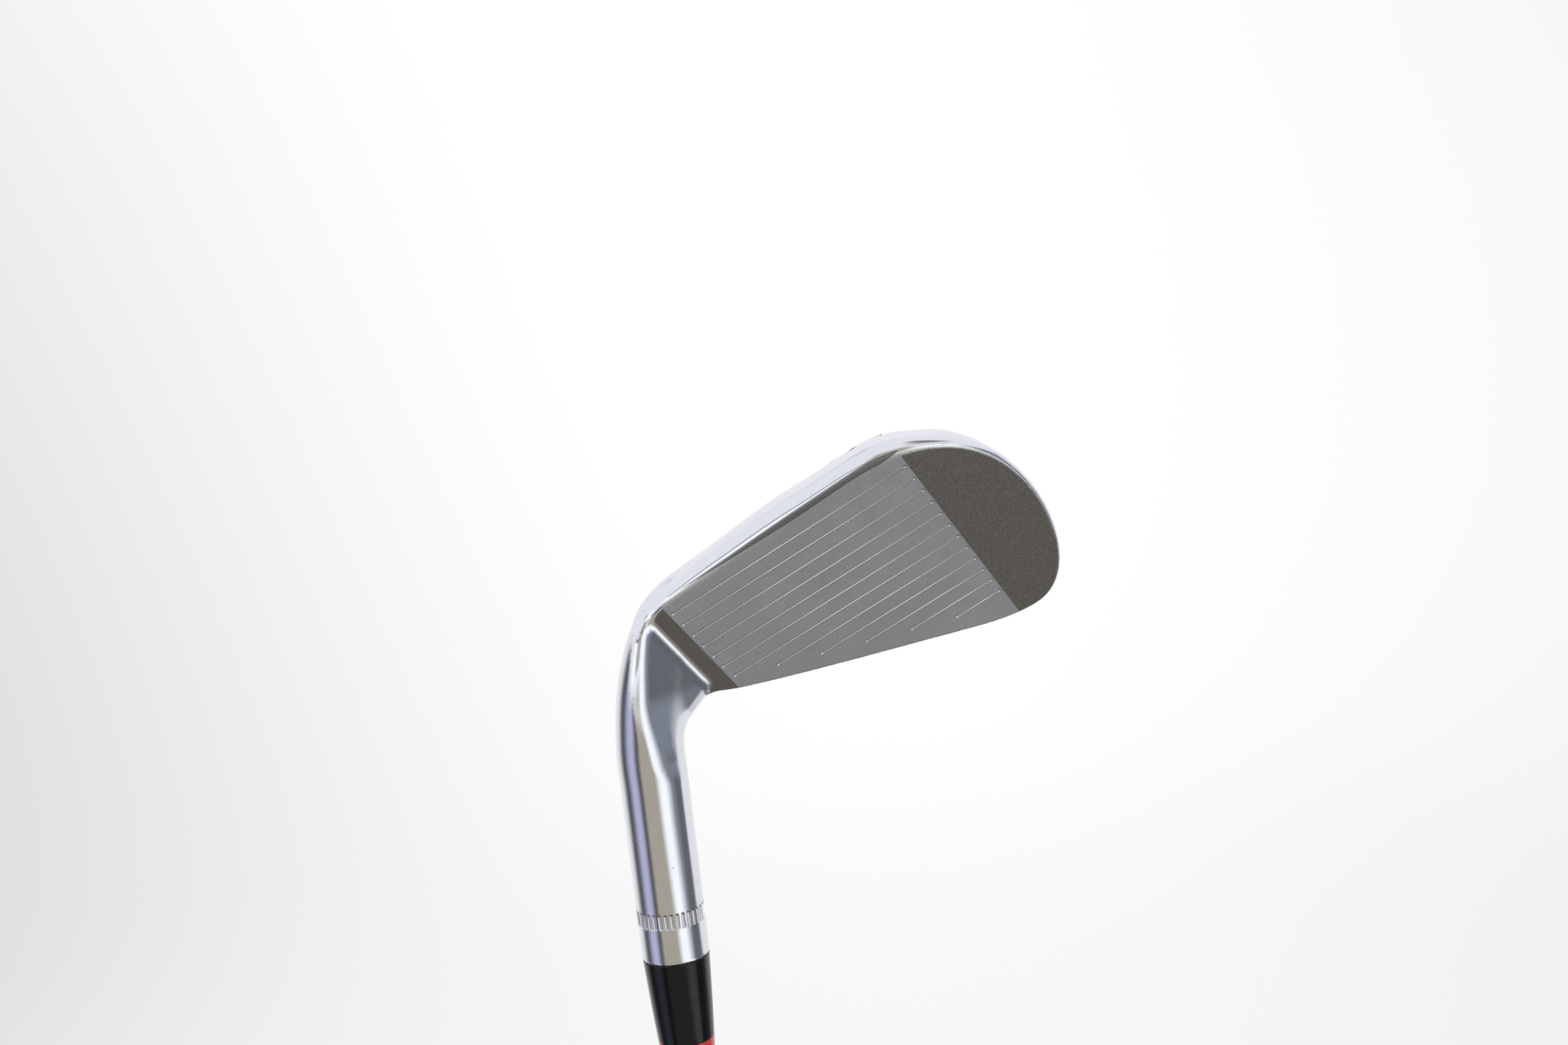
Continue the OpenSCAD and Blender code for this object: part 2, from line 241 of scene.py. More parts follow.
def head_field(q):
    v = q - P0
    u, w, d = v @ TOE, v @ TOPWARD, -(v @ NORMAL)
    z = q[:, 2] - FACE_Z
    f = np.empty(len(q))
    low = (z < -45) & (u < -12)
    f[low] = np.hypot(q[low, 0], q[low, 1]) - HOSEL_R
    m = ~low
    qm, um, wm, dm = q[m], u[m], w[m], d[m]
    g = blade(um, wm, dm)
    near = (um < 30) & (z[m] > -46)
    qn = qm[near]
    rod = np.where(qn[:, 2] - FACE_Z < -40, np.hypot(qn[:, 0], qn[:, 1]) - HOSEL_R,
                   tube(qn, np.array(NECK), np.array(NECK_R)))
    neck = smin(rod, triangle(qn, *WEB), 2.5)
    # the side of the neck falls to the face as a slope that ends along the heel line
    un, dn, zn = um[near], dm[near], qn[:, 2] - FACE_Z
    slope = math.sin(WALL_TILT) * (un - WALL_U) - math.cos(WALL_TILT) * dn - 2.9 * smooth(-15, -33, zn)
    neck = smax(neck, slope - 6 * smooth(-28, -42, zn), 2.6)
    k = 1.9 + 3.2 * smooth(1, 6, dn)
    joined = smin(neck, g[near], k)
    # the hitting area stays flat
    g[near] = np.where(un > WALL_U + 2.3, np.maximum(joined, np.minimum(-dn, un - WALL_U - 2.3)), joined)
    f[m] = g
    rim = 0.35
    e = HOSEL_END - q[:, 2]
    c = np.hypot(np.maximum(f + rim, 0), np.maximum(e + rim, 0)) - rim
    return np.where((f > -rim) & (e > -rim), c, np.maximum(f, e))


def iso_mesh(field, lo, hi, step, ratio):
    """Quads on field = 0, with every point moved onto the exact surface."""
    lo = np.array(lo, float)
    n = np.ceil((np.array(hi) - lo) / (step * ratio)).astype(int)
    big = step * ratio
    cell = np.stack(np.meshgrid(*[np.arange(k) for k in n], indexing="ij"), -1).reshape(-1, 3)
    mid = field(lo + (cell + 0.5) * big - step / 2)
    full = np.where(mid < 0, -1.0, 1.0).reshape(n)
    for axis in range(3):
        full = np.repeat(full, ratio, axis)
    full = (full * 3 * step).astype(np.float32)
    hot = cell[np.abs(mid) < big * 0.87 * 1.25 + step]
    sub = np.stack(np.meshgrid(*[np.arange(ratio)] * 3, indexing="ij"), -1).reshape(-1, 3)
    idx = (hot[:, None] * ratio + sub[None]).reshape(-1, 3)
    for i in range(0, len(idx), 400000):
        j = idx[i:i + 400000]
        full[j[:, 0], j[:, 1], j[:, 2]] = np.clip(field(lo + j * step), -3 * step, 3 * step)
    grid = openvdb.FloatGrid(background=3 * step)
    grid.copyFromArray(full)
    pts, quads = grid.convertToQuads()
    pts = lo + pts.astype(float) * step
    h = 0.01
    for _ in range(4):
        f = field(pts)
        g = np.stack([(field(pts + h * e) - f) / h for e in np.eye(3)], -1)
        move = f[:, None] * g / np.maximum((g * g).sum(1), 0.2)[:, None]
        size = np.linalg.norm(move, axis=1)[:, None]
        pts -= move * np.minimum(1, 0.25 / np.maximum(size, 1e-9))
    return pts, quads[:, ::-1]


# ---------------------------------------------------------------- mesh helpers
def new_object(name, verts, faces, material=None, smooth_angle=40):
    mesh = bpy.data.meshes.new(name)
    mesh.from_pydata([tuple(v) for v in np.asarray(verts) * MM], [], [list(map(int, f)) for f in faces])
    mesh.validate()
    bm = bmesh.new()
    bm.from_mesh(mesh)
    bmesh.ops.recalc_face_normals(bm, faces=bm.faces)
    bm.to_mesh(mesh)
    bm.free()
    obj = bpy.data.objects.new(name, mesh)
    bpy.context.scene.collection.objects.link(obj)
    finish_mesh(obj, material, smooth_angle)
    return obj


def finish_mesh(obj, material, smooth_angle):
    obj.data.shade_smooth()
    if smooth_angle:
        obj.data.set_sharp_from_angle(angle=math.radians(smooth_angle))
    if material:
        obj.data.materials.clear()
        obj.data.materials.append(material)


def lathe(profile, sides, shift=None):
    """Points and quads of a closed ring profile [(r, z), ...] turned round Z."""
    profile = np.array(profile, float)
    th = np.arange(sides) * 2 * math.pi / sides
    r, z = profile[:, 0][:, None], profile[:, 1][:, None]
    if shift is not None:
        r = r + shift
    v = np.stack([r * np.cos(th), r * np.sin(th), z + 0 * th], -1).reshape(-1, 3)
    n = len(profile)
    f = []
    for i in range(n):
        k = (i + 1) % n
        for j in range(sides):
            m = (j + 1) % sides
            f.append((i * sides + j, i * sides + m, k * sides + m, k * sides + j))
    return v, f


def cut(obj, tool):
    """Takes the other mesh away from this one."""
    mod = obj.modifiers.new("cut", "BOOLEAN")
    mod.object, mod.operation, mod.solver = tool, "DIFFERENCE", "MANIFOLD"
    dg = bpy.context.evaluated_depsgraph_get()
    made = bpy.data.meshes.new_from_object(obj.evaluated_get(dg))
    obj.modifiers.clear()
    obj.data = made
    bpy.data.objects.remove(tool)


def merged(parts):
    """Joins several vertex and face lists into one."""
    verts, faces, n = [], [], 0
    for v, f in parts:
        verts.append(np.asarray(v, float))
        faces += [[i + n for i in g] for g in f]
        n += len(v)
    return np.vstack(verts), faces


def prism(points, near, far):
    """Solid between a flat ring of points moved by near and by far."""
    p = np.asarray(points, float)
    n = len(p)
    f = [[i, (i + 1) % n, n + (i + 1) % n, n + i] for i in range(n)]
    return np.vstack([p + near, p + far]), f + [list(range(n))[::-1], list(range(n, 2 * n))]


def ball(centre, r, rings=10, sides=20):
    v = [centre + np.array([0, 0, r])]
    for i in range(1, rings):
        a = math.pi * i / rings
        for j in range(sides):
            b = 2 * math.pi * j / sides
            out = np.array([math.sin(a) * math.cos(b), math.sin(a) * math.sin(b), math.cos(a)])
            v.append(centre + r * out)
    v.append(centre - np.array([0, 0, r]))
    f = [[0, 1 + j, 1 + (j + 1) % sides] for j in range(sides)]
    for i in range(rings - 2):
        for j in range(sides):
            a, b = 1 + i * sides + j, 1 + i * sides + (j + 1) % sides
            f.append([a, a + sides, b + sides, b])
    last = len(v) - 1
    f += [[last, last - sides + (j + 1) % sides, last - sides + j] for j in range(sides)]
    return np.array(v), f


# ---------------------------------------------------------------- shader helpers
def add(tree, kind, ins=None, **props):
    node = tree.nodes.new(kind)
    for k, v in props.items():
        setattr(node, k, v)
    for k, v in (ins or {}).items():
        if isinstance(v, bpy.types.NodeSocket):
            tree.links.new(v, node.inputs[k])
        else:
            node.inputs[k].default_value = v
    return node


def calc(tree, op, a, b=0.0, c=0.0):
    return add(tree, "ShaderNodeMath", {0: a, 1: b, 2: c}, operation=op).outputs[0]


def step_up(tree, x, lo, hi):
    """0 below lo, 1 above hi, and a soft step between, as nodes."""
    ends = {0: x, 1: lo, 2: hi, 3: 0.0, 4: 1.0}
    n = add(tree, "ShaderNodeMapRange", ends, interpolation_type="SMOOTHSTEP")
    return n.outputs[0]


def step_down(tree, x, lo, hi):
    return calc(tree, "SUBTRACT", 1.0, step_up(tree, x, lo, hi))


def blend(tree, f, a, b):
    n = add(tree, "ShaderNodeMix", {0: f, 6: a, 7: b}, data_type="RGBA")
    return n.outputs[2]


def blend1(tree, f, a, b):
    return add(tree, "ShaderNodeMix", {0: f, 2: a, 3: b}, data_type="FLOAT").outputs[0]


def srgb(r, g, b):
    def one(c):
        c /= 255
        return c / 12.92 if c <= 0.04045 else ((c + 0.055) / 1.055) ** 2.4
    return (one(r), one(g), one(b), 1)


def material(name):
    mat = bpy.data.materials.new(name)
    mat.use_nodes = True
    tree = mat.node_tree
    return mat, tree, tree.nodes["Principled BSDF"]


def place(tree):
    return add(tree, "ShaderNodeTexCoord").outputs["Object"]


def scaled(tree, vec, factors):
    return add(tree, "ShaderNodeVectorMath", {0: vec, 1: factors}, operation="MULTIPLY").outputs[0]


def noise(tree, vec, scale, detail=2.0, rough=0.5, stretch=None):
    if stretch is not None:
        turned = {"Vector": vec, "Rotation": stretch[0], "Scale": stretch[1]}
        vec = add(tree, "ShaderNodeMapping", turned).outputs[0]
    grain = {"Vector": vec, "Scale": scale, "Detail": detail, "Roughness": rough}
    return add(tree, "ShaderNodeTexNoise", grain).outputs[0]


def bump(tree, height, strength, distance, normal=None):
    ins = {"Height": height, "Strength": strength, "Distance": distance}
    if normal is not None:
        ins["Normal"] = normal
    return add(tree, "ShaderNodeBump", ins).outputs[0]


def head_material():
    mat, t, bsdf = material("head_steel")
    vec = place(t)
    mm = add(t, "ShaderNodeVectorMath", {0: vec, 1: (1000, 1000, 1000)}, operation="MULTIPLY").outputs[0]
    rel = add(t, "ShaderNodeVectorMath", {0: mm, 1: tuple(-P0)}, operation="ADD").outputs[0]
    u = add(t, "ShaderNodeVectorMath", {0: rel, 1: tuple(TOE)}, operation="DOT_PRODUCT").outputs["Value"]
    w = add(t, "ShaderNodeVectorMath", {0: rel, 1: tuple(TOPWARD)}, operation="DOT_PRODUCT").outputs["Value"]
    d = add(t, "ShaderNodeVectorMath", {0: rel, 1: tuple(-NORMAL)}, operation="DOT_PRODUCT").outputs["Value"]
    flat = calc(t, "LESS_THAN", calc(t, "ABSOLUTE", d), 0.22)
    scored = calc(t, "MULTIPLY", calc(t, "GREATER_THAN", d, 0.03), calc(t, "LESS_THAN", d, 0.7))
    hit = calc(t, "MULTIPLY", step_up(t, u, -0.82, -0.74), step_down(t, u, 53.86, 53.94))
    blast = calc(t, "MULTIPLY", hit, flat)
    toe = calc(t, "MULTIPLY", step_up(t, u, 53.86, 53.94), flat)
    stretched = {0: calc(t, "MULTIPLY", u, 1.5), 1: calc(t, "MULTIPLY", w, 4.2), 2: d}
    along = add(t, "ShaderNodeCombineXYZ", stretched).outputs[0]
    fine = noise(t, mm, 5.0, 3.0, 0.6)
    cloud = noise(t, mm, 0.10, 3.0, 0.6)
    brush = noise(t, along, 1.0, 5.0, 0.7)
    worn = noise(t, scaled(t, mm, (2.4, 3.4, 5.5)), 1.0, 6.0, 0.72)
    turned = noise(t, scaled(t, mm, (2.2, 2.2, 0.12)), 1.0, 4.0, 0.6)
    pits = noise(t, mm, 1.7, 1.0, 0.5)
    pit = calc(t, "MULTIPLY", step_up(t, pits, 0.76, 0.82), calc(t, "SUBTRACT", 1.0, flat))
    grey = blend(t, cloud, (0.35, 0.355, 0.36, 1), (0.46, 0.475, 0.50, 1))
    grey = blend(t, step_up(t, fine, 0.38, 0.62), blend(t, 0.4, grey, (0.2, 0.2, 0.2, 1)), grey)
    satin = blend(t, step_up(t, worn, 0.34, 0.66), (0.46, 0.50, 0.53, 1), (1.0, 1.0, 0.98, 1))
    satin = blend(t, calc(t, "MULTIPLY", step_up(t, brush, 0.62, 0.75), 0.35), satin, (1.0, 0.98, 0.86, 1))
    chrome = blend(t, turned, (0.74, 0.75, 0.77, 1), (0.84, 0.85, 0.87, 1))
    col = blend(t, toe, chrome, satin)
    col = blend(t, blast, col, grey)
    # painted shade: the sole side of every groove is darkened in its colour
    row = calc(t, "SUBTRACT", calc(t, "FRACT", calc(t, "ADD", calc(t, "DIVIDE", w, GROOVE_PITCH), 0.5)), 0.5)
    groove_painted_shade = calc(t, "MULTIPLY", calc(t, "MULTIPLY", scored, hit), calc(t, "LESS_THAN", row, -0.012))
    col = blend(t, calc(t, "MULTIPLY", groove_painted_shade, 0.72), col, (0.03, 0.03, 0.03, 1))
    col = blend(t, calc(t, "MULTIPLY", pit, 0.5), col, (0.1, 0.1, 0.1, 1))
    rough = blend1(t, toe, blend1(t, turned, 0.03, 0.09), 0.24)
    rough = blend1(t, blast, rough, 0.55)
    rough = blend1(t, calc(t, "MULTIPLY", scored, hit), rough, 0.22)
    t.links.new(col, bsdf.inputs["Base Color"])
    t.links.new(rough, bsdf.inputs["Roughness"])
    t.links.new(blend1(t, blast, 1.0, 0.45), bsdf.inputs["Metallic"])
    grain = calc(t, "MULTIPLY", fine, blast)
    lines = calc(t, "MULTIPLY", calc(t, "ADD", brush, worn), toe)
    n = bump(t, grain, 0.3, 0.00008)
    n = bump(t, lines, 0.45, 0.00005, n)
    n = bump(t, calc(t, "MULTIPLY", turned, calc(t, "SUBTRACT", 1.0, flat)), 0.06, 0.00003, n)
    n = bump(t, calc(t, "MULTIPLY", pit, -1.0), 0.5, 0.00008, n)
    t.links.new(n, bsdf.inputs["Normal"])
    return mat


def plastic(name, colour, rough, coat=0.0, grain=0.0, shine=0.5):
    mat, t, bsdf = material(name)
    vec = place(t)
    spots = noise(t, vec, 900.0, 3.0, 0.6)
    dark = tuple(c * 0.72 for c in colour[:3]) + (1,)
    t.links.new(blend(t, spots, dark, colour), bsdf.inputs["Base Color"])
    t.links.new(blend1(t, noise(t, vec, 300.0, 4.0, 0.6), rough * 0.7, rough * 1.3), bsdf.inputs["Roughness"])
    bsdf.inputs["Specular IOR Level"].default_value = shine
    bsdf.inputs["Coat Weight"].default_value = coat
    bsdf.inputs["Coat Roughness"].default_value = 0.03
    if grain:
        t.links.new(bump(t, noise(t, vec, 2500.0, 3.0, 0.7), grain, 0.0001), bsdf.inputs["Normal"])
    return mat


def metal(name, colour, rough, along=(40.0, 40.0, 3000.0)):
    mat, t, bsdf = material(name)
    vec = place(t)
    turned = noise(t, vec, 1.0, 3.0, 0.6, ((0.0, 0.0, 0.0), along))
    dark = tuple(c * 0.9 for c in colour[:3]) + (1,)
    t.links.new(blend(t, turned, dark, colour), bsdf.inputs["Base Color"])
    t.links.new(blend1(t, noise(t, vec, 400.0, 3.0, 0.6), rough * 0.7, rough * 1.4), bsdf.inputs["Roughness"])
    bsdf.inputs["Metallic"].default_value = 1.0
    t.links.new(bump(t, turned, 0.04, 0.00002), bsdf.inputs["Normal"])
    return mat


HEAD_MAT = head_material()
BLACK = plastic("ferrule_black", (0.0022, 0.0022, 0.0024, 1), 0.10, shine=0.36)
RED = plastic("ferrule_red", srgb(190, 58, 52), 0.14)
ENAMEL = plastic("sole_enamel", srgb(130, 24, 24), 0.2, 0.6)
STEEL = metal("shaft_steel", (0.78, 0.79, 0.80, 1), 0.09)
BRASS = metal("tip_brass", (0.75, 0.58, 0.28, 1), 0.3)
GLUE = plastic("glue", (0.60, 0.52, 0.30, 1), 0.5)
LABEL = plastic("label", (0.10, 0.11, 0.13, 1), 0.35)
CREPE = plastic("tape", (0.75, 0.73, 0.68, 1), 0.8, 0.0, 0.6)
RUBBER = plastic("grip_rubber", (0.020, 0.020, 0.021, 1), 0.62, 0.0, 0.5)
CAP_RUBBER = plastic("cap_rubber", (0.014, 0.014, 0.015, 1), 0.5, 0.0, 0.3)
PAINT = plastic("mark_paint", (0.78, 0.78, 0.75, 1), 0.45)


# ---------------------------------------------------------------- the head
def exact_normals(obj):
    """Takes the shading normals of everything on the forged surface from its own function."""
    me = obj.data
    n = len(me.loops)
    vi = np.empty(n, int)
    me.loops.foreach_get("vertex_index", vi)
    size = np.empty(len(me.polygons), int)
    me.polygons.foreach_get("loop_total", size)
    fi = np.repeat(np.arange(len(size)), size)
    co = np.empty(len(me.vertices) * 3)
    me.vertices.foreach_get("co", co)
    co = co.reshape(-1, 3) / MM
    fn = np.empty(len(size) * 3)
    me.polygons.foreach_get("normal", fn)
    fn = fn.reshape(-1, 3)[fi]
    own = np.empty(n * 3)
    me.corner_normals.foreach_get("vector", own)
    own = own.reshape(-1, 3)
    f = head_field(co)
    h = 0.02
    g = np.stack([head_field(co + h * e) - head_field(co - h * e) for e in np.eye(3)], -1)
    g /= np.maximum(np.linalg.norm(g, axis=1), 1e-9)[:, None]
    gl = g[vi]
    good = (np.abs(f[vi]) < 0.03) & ((gl * fn).sum(1) > math.cos(math.radians(32)))
    me.normals_split_custom_set(np.where(good[:, None], gl, own).tolist())


def make_head():
    """The forging: one smooth surface, then lines, bore, notches and number cut in it."""
    lo = np.array(HEAD_LO) / MM - 1.5
    hi = np.array(HEAD_HI) / MM + 1.5
    pts, quads = iso_mesh(head_field, lo, hi, 0.4, 5)
    obj = new_object("head_forged", pts, quads, HEAD_MAT, None)

    grooves, dots = [], []
    ring = [(-0.37, -0.5), (-0.37, 0), (-0.3, 0.2), (-0.18, 0.36), (0, 0.42),
            (0.18, 0.36), (0.3, 0.2), (0.37, 0), (0.37, -0.5)]
    for i, u0 in enumerate(GROOVE_STARTS):
        shape = [in_face(0, i * GROOVE_PITCH + a, b) for a, b in ring]
        grooves.append(prism(shape, u0 * TOE, GROOVE_LENGTH * TOE))
        for end in (u0, GROOVE_LENGTH):
            dots.append(ball(in_face(end, i * GROOVE_PITCH, -0.12), 0.52))
    cut(obj, new_object("t1", *merged(grooves)))
    cut(obj, new_object("t2", *merged(dots)))

    z0 = HOSEL_END
    bore = [(4.8, 34.0), (4.8, 0.45), (5.2, -0.05), (5.2, -1.0)]
    n = 64
    ang = np.arange(n) * 2 * math.pi / n
    v = np.vstack([np.c_[r * np.cos(ang), r * np.sin(ang), np.full(n, z0 + z)] for r, z in bore])
    f = [[i * n + j, i * n + (j + 1) % n, (i + 1) * n + (j + 1) % n, (i + 1) * n + j]
         for i in range(3) for j in range(n)]
    cut(obj, new_object("t3", v, f + [list(range(n)), list(range(3 * n, 4 * n))[::-1]]))

    flutes = []
    side = [(0.47, 7.3), (0.47, 9.9), (0.43, 10.2), (0.33, 10.43), (0.18, 10.57)]
    for i in range(NOTCHES):
        a = 2 * math.pi * (i + 0.3) / NOTCHES
        c = np.array([math.cos(a), math.sin(a), 0]) * (HOSEL_R + 0.15) + np.array([0, 0, z0])
        k = 14
        b = np.arange(k) * 2 * math.pi / k
        v = np.vstack([c + np.c_[r * np.cos(b), r * np.sin(b), np.full(k, z)] for r, z in side])
        f = [[p * k + j, p * k + (j + 1) % k, (p + 1) * k + (j + 1) % k, (p + 1) * k + j]
             for p in range(4) for j in range(k)]
        flutes.append((v, f + [list(range(k)), list(range(4 * k, 5 * k))[::-1]]))
    cut(obj, new_object("t4", *merged(flutes)))

    cut(obj, new_object("t5", *merged(number_parts(6.8, 12))))
    finish_mesh(obj, HEAD_MAT, 30)
    exact_normals(obj)
    return obj


def at_address(x, y, z):
    return P0 + x * TOE + y * np.array([0, 1.0, 0]) - z * UP


def number_parts(z_lo, z_hi, inset=0.0):
    seven = [(-2, 3), (2, 3), (2, 2.1), (0.1, -3), (-1, -3), (0.8, 2.1), (-2, 2.1)]
    out = []
    shapes = [seven]
    for side in (-5, 5):
        shapes.append([(side + (0.9 - inset) * math.cos(a), (0.9 - inset) * math.sin(a))
                       for a in np.arange(24) * math.pi / 12])
    for shape in shapes:
        ring = [at_address(46 + x, 9 + y, 0) for x, y in shape]
        out.append(prism(ring, -z_lo * UP, -z_hi * UP))
    return out


head = make_head()
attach(head, "root")
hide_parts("head")


# ---------------------------------------------------------------- the pieces along the shaft axis
def span(node):
    lo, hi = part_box(node)
    return lo[2] / MM, hi[2] / MM


def stand_in(name, node, slot, verts, faces, mat, angle=35):
    obj = new_object(name, verts, faces, mat, angle)
    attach(obj, "root")
    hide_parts(node)
    return obj


def make_ferrule():
    """Three turned rings on one slightly bulging taper."""
    bottom, top = span("ferrule_tail")[0], span("ferrule_nose")[1]
    bore = 4.72

    def r_at(z):
        t = (top - z) / (top - bottom)
        return 6.7 - 1.65 * t + 0.12 * math.sin(math.pi * t)

    for name, node, slot, mat, round_top in (
            ("ferrule_collar", "ferrule_nose", "ferrule_black", BLACK, 0.25),
            ("ferrule_trim", "ferrule_ring", "ferrule_red", RED, 0.08),
            ("ferrule_end", "ferrule_tail", "ferrule_black", BLACK, 0.08)):
        z0, z1 = span(node)
        cap = 0.6 if node == "ferrule_tail" else 0.08
        side = []
        for i in range(7):
            a = math.pi / 2 * i / 6
            side.append((r_at(z0) - cap * (1 - math.sin(a)), z0 + cap * (1 - math.cos(a))))
        for z in np.linspace(z0 + cap, z1 - round_top, 16)[1:]:
            side.append((r_at(z), z))
        for i in range(1, 7):
            a = math.pi / 2 * i / 6
            side.append((r_at(z1) - round_top * (1 - math.cos(a)), z1 - round_top * (1 - math.sin(a))))
        stand_in(name, node, slot, *lathe([(bore, z0)] + side + [(bore, z1)], 128), mat)


def shaft_outline():
    """Outside radius of the stepped tube along Z, with soft cones at the steps."""
    z0, z1 = span("shaft")
    drop = (SHAFT_BUTT_R - SHAFT_TIP_R) / SHAFT_STEPS
    steps = [z1 - 230 - (12 - i) * 44.45 for i in range(13)]
    pts = [(SHAFT_BUTT_R, z0)]
    for i, z in enumerate(steps):
        for k in range(9):
            t = k / 8
            pts.append((SHAFT_BUTT_R - drop * (i + smooth(0, 1, t)), z + 2.4 * (t - 0.5)))
    return pts + [(4.7, z1)]


def make_shaft():
    """The stepped steel tube."""
    side = shaft_outline()
    wall = 0.5
    profile = [(r, z) for r, z in side] + [(r - wall, z) for r, z in side[::-1]]
    stand_in("shaft_tube", "shaft", "shaft_chrome", *lathe(profile, 96), STEEL)


def make_band():
    z0, z1 = span("shaft_band")
    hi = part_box("shaft_band")[1][0] / MM
    inner = hi - 0.08
    edge = 0.03
    profile = [(inner, z0), (hi - edge, z0), (hi, z0 + edge)]
    profile += [(hi, z) for z in np.linspace(z0 + 1, z1 - 1, 12)]
    profile += [(hi, z1 - edge), (hi - edge, z1), (inner, z1)]
    stand_in("band_label", "shaft_band", "label", *lathe(profile, 96), LABEL)


def grip_r(z):
    z0 = span("grip_sleeve")[0]
    table = [(z0, GRIP_BUTT_R), (z0 + 3, 13.0), (z0 + 10, 12.3), (50, 11.6), (105, 10.9), (160, 10.1), (215, 9.3),
             (256, 8.7), (262, 8.7)]
    zs, rs = zip(*table)
    return np.interp(z, zs, rs)


def make_grip():
    """The rubber sleeve: crossed grooves and pips between plain bands, with marks cut in."""
    z0, z1 = span("grip_sleeve")
    sides = 240
    zs = np.concatenate([[z0, z0 + 0.15, z0 + 0.5], np.arange(z0 + 1, z1 - 9, 0.5)])
    soft = np.array([np.mean(grip_r(np.linspace(z - 4, z + 4, 9).clip(z0, 262))) for z in zs])
    side = [[r, z] for r, z in zip(np.minimum(soft, grip_r(zs) + 0.02), zs)]
    side[0][0] -= 0.35
    side[1][0] -= 0.12
    mouth = [(8.7, z1 - 8), (8.8, z1 - 6.6), (9.12, z1 - 5.4), (9.2, z1 - 4.4), (9.2, z1 - 2.2), (9.12, z1 - 1.2),
             (8.9, z1 - 0.5), (8.55, z1 - 0.1), (8.3, z1)]
    profile = np.array(side + [list(p) for p in mouth] + [[6.76, z1], [7.9, z1 - 6], [7.9, z0]])
    th = np.arange(sides) * 2 * math.pi / sides
    shift = np.zeros((len(profile), sides))
    z = profile[:len(side), 1][:, None]
    band = smooth(z0 + 16, z0 + 19, z) * (1 - smooth(z1 - 46, z1 - 43, z))
    k = 15
    p = (th[None] * k / (2 * math.pi) + z / 5.2)
    m = (th[None] * k / (2 * math.pi) - z / 5.2)
    groove = np.maximum(1 - np.abs((p % 1) - 0.5) / 0.11, 0) + np.maximum(1 - np.abs((m % 1) - 0.5) / 0.11, 0)
    pips = smooth(0.62, 0.95, np.cos(2 * math.pi * p) * np.cos(2 * math.pi * m))
    shift[:len(side)] = -band * (0.32 * np.minimum(groove, 1) + 0.16 * pips)
    for at in (z0 + 12, z0 + 13.6, z1 - 42, z1 - 40.4):
        shift[:len(side)] -= 0.3 * np.exp(-((z - at) / 0.42) ** 2)
    v, f = lathe(profile, sides, shift)
    obj = new_object("grip_rubber", v, f, RUBBER, 50)
    cut(obj, new_object("t6", *merged([grip_mark(i, 0, -12, -8.2) for i in range(4)])))
    finish_mesh(obj, RUBBER, 50)
    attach(obj, "root")
    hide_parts("grip_sleeve")
    marks = [grip_mark(i, 0.02, -8.48, -8.22) for i in range(4)]
    stand_in("grip_paint", "grip_marks", "mark_paint", *merged(marks), PAINT)


def grip_mark(i, inset, y_out, y_in):
    """One alignment mark: a short bar with round corners."""
    z = 270 - 18 - i * 6
    x = 2.5 - 0.5 * i - inset
    ring = []
    for cx, cz, a0 in ((x - 0.3, z + 1.3 - inset, 0), (-x + 0.3, z + 1.3 - inset, 90),
                       (-x + 0.3, z + 0.3 + inset, 180), (x - 0.3, z + 0.3 + inset, 270)):
        for j in range(5):
            a = math.radians(a0 + 22.5 * j)
            ring.append((cx + 0.3 * math.cos(a), 0, cz + 0.3 * math.sin(a)))
    return prism(ring, (0, y_out, 0), (0, y_in, 0))


def make_cap():
    """The end cap with its vent hole and a raised ring."""
    z1 = span("grip_cap")[1]
    hi = GRIP_BUTT_R
    profile = [(2.0, 4.0), (2.0, 0.35), (2.1, 0.1), (2.35, 0.0)]
    profile += [(4, 0.0), (5.6, 0.0), (5.8, 0.1), (6.0, 0.35), (6.3, 0.45), (6.6, 0.35)]
    profile += [(6.8, 0.1), (7.0, 0.0), (8.4, 0.0), (9.5, 0.0), (10.4, 0.12), (11.3, 0.42)]
    profile += [(12.0, 0.85), (12.6, 1.5), (12.97, 2.3), (hi - 0.05, 3.1)]
    profile += [(hi - 0.05, z1 - 0.45), (hi - 0.12, z1 - 0.2), (hi - 0.4, z1), (7.9, z1), (7.9, 4.0)]
    stand_in("cap_moulding", "grip_cap", "cap_rubber", *lathe(profile, 160), CAP_RUBBER, 40)


def make_enamel():
    """The red fill in the number on the sole."""
    stand_in("sole_paint", "sole_number_fill", "red_enamel", *merged(number_parts(6.82, 7.25, 0.02)), ENAMEL)


make_grip()
make_cap()
make_enamel()
make_ferrule()
make_shaft()
make_band()
for node, mat in (("hosel_epoxy", GLUE), ("tip_weight", BRASS), ("grip_tape", CREPE)):
    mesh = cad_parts[node].data
    mesh.materials.clear()
    mesh.materials.append(mat)


# ---------------------------------------------------------------- light, floor and camera
def ramp(tree, x, stops):
    node = add(tree, "ShaderNodeValToRGB", {0: x})
    e = node.color_ramp.elements
    while len(e) > 1:
        e.remove(e[-1])
    for i, (pos, col) in enumerate(stops):
        el = e[0] if i == 0 else e.new(pos)
        el.position, el.color = pos, col
    return node.outputs[0]
